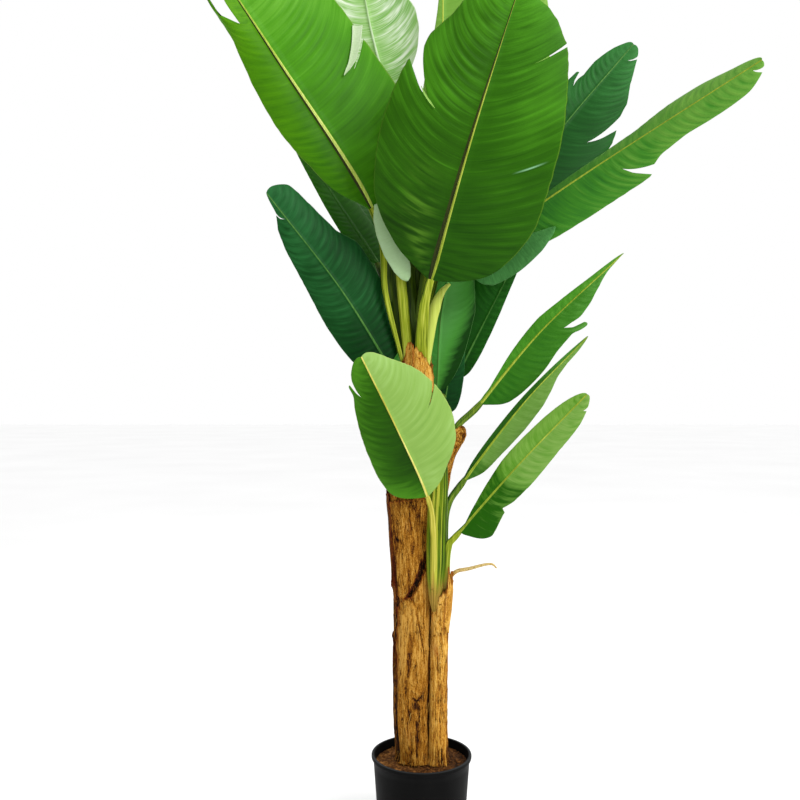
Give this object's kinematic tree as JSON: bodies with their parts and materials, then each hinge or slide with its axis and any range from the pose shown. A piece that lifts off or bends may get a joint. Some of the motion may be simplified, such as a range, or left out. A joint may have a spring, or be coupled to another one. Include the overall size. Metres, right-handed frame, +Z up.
{
  "type": "potted banana plant",
  "caption": "Potted decorative banana plant: two fibrous stems in a tapered round pot under a crown of broad torn leaves, with smaller leaves on a green side stalk.",
  "frame": {"origin": "middle of the pot's flat underside, where the plant stands on the floor", "axes": "+Z up along the stems, +X to the right of the view in the picture, -Y the front that faces the picture's camera"},
  "size_m": [1.083, 0.6719, 1.9982],
  "materials": {
    "pot": "satin",
    "soil": "matte",
    "main_stem": "matte",
    "side_stem": "matte",
    "side_stalk": "satin",
    "crown_core": "satin",
    "fibre_cap": "matte",
    "young_shoot": "satin",
    "cut_stub": "matte",
    "dry_tail": "matte",
    "leaf_front": "satin",
    "leaf_upper_left": "satin",
    "leaf_left": "satin",
    "leaf_left_back": "satin",
    "leaf_right_long": "satin",
    "leaf_right_dark": "satin",
    "leaf_top_left": "satin",
    "leaf_top": "satin",
    "leaf_top_right": "satin",
    "leaf_lower_right": "satin",
    "leaf_lower_mid": "satin",
    "leaf_lower_small": "satin",
    "leaf_low_front": "satin",
    "leaf_side_upper": "satin",
    "leaf_side_mid": "satin",
    "leaf_side_low": "satin",
    "leaf_back_left": "satin",
    "leaf_back_mid": "satin",
    "leaf_back_right": "satin",
    "leaf_back_low": "satin",
    "leaf_back_high": "satin"
  },
  "bodies": {
    "root": {"pot": "pot", "soil": "soil", "main_stem": "main_stem", "side_stem": "side_stem", "side_stalk": "side_stalk", "crown_core": "crown_core", "fibre_cap": "fibre_cap", "young_shoot": "young_shoot", "cut_stub": "cut_stub", "dry_tail": "dry_tail", "leaf_front": "leaf_front", "leaf_upper_left": "leaf_upper_left", "leaf_left": "leaf_left", "leaf_left_back": "leaf_left_back", "leaf_right_long": "leaf_right_long", "leaf_right_dark": "leaf_right_dark", "leaf_top_left": "leaf_top_left", "leaf_top": "leaf_top", "leaf_top_right": "leaf_top_right", "leaf_lower_right": "leaf_lower_right", "leaf_lower_mid": "leaf_lower_mid", "leaf_lower_small": "leaf_lower_small", "leaf_low_front": "leaf_low_front", "leaf_side_upper": "leaf_side_upper", "leaf_side_mid": "leaf_side_mid", "leaf_side_low": "leaf_side_low", "leaf_back_left": "leaf_back_left", "leaf_back_mid": "leaf_back_mid", "leaf_back_right": "leaf_back_right", "leaf_back_low": "leaf_back_low", "leaf_back_high": "leaf_back_high"}
  },
  "joints": []
}
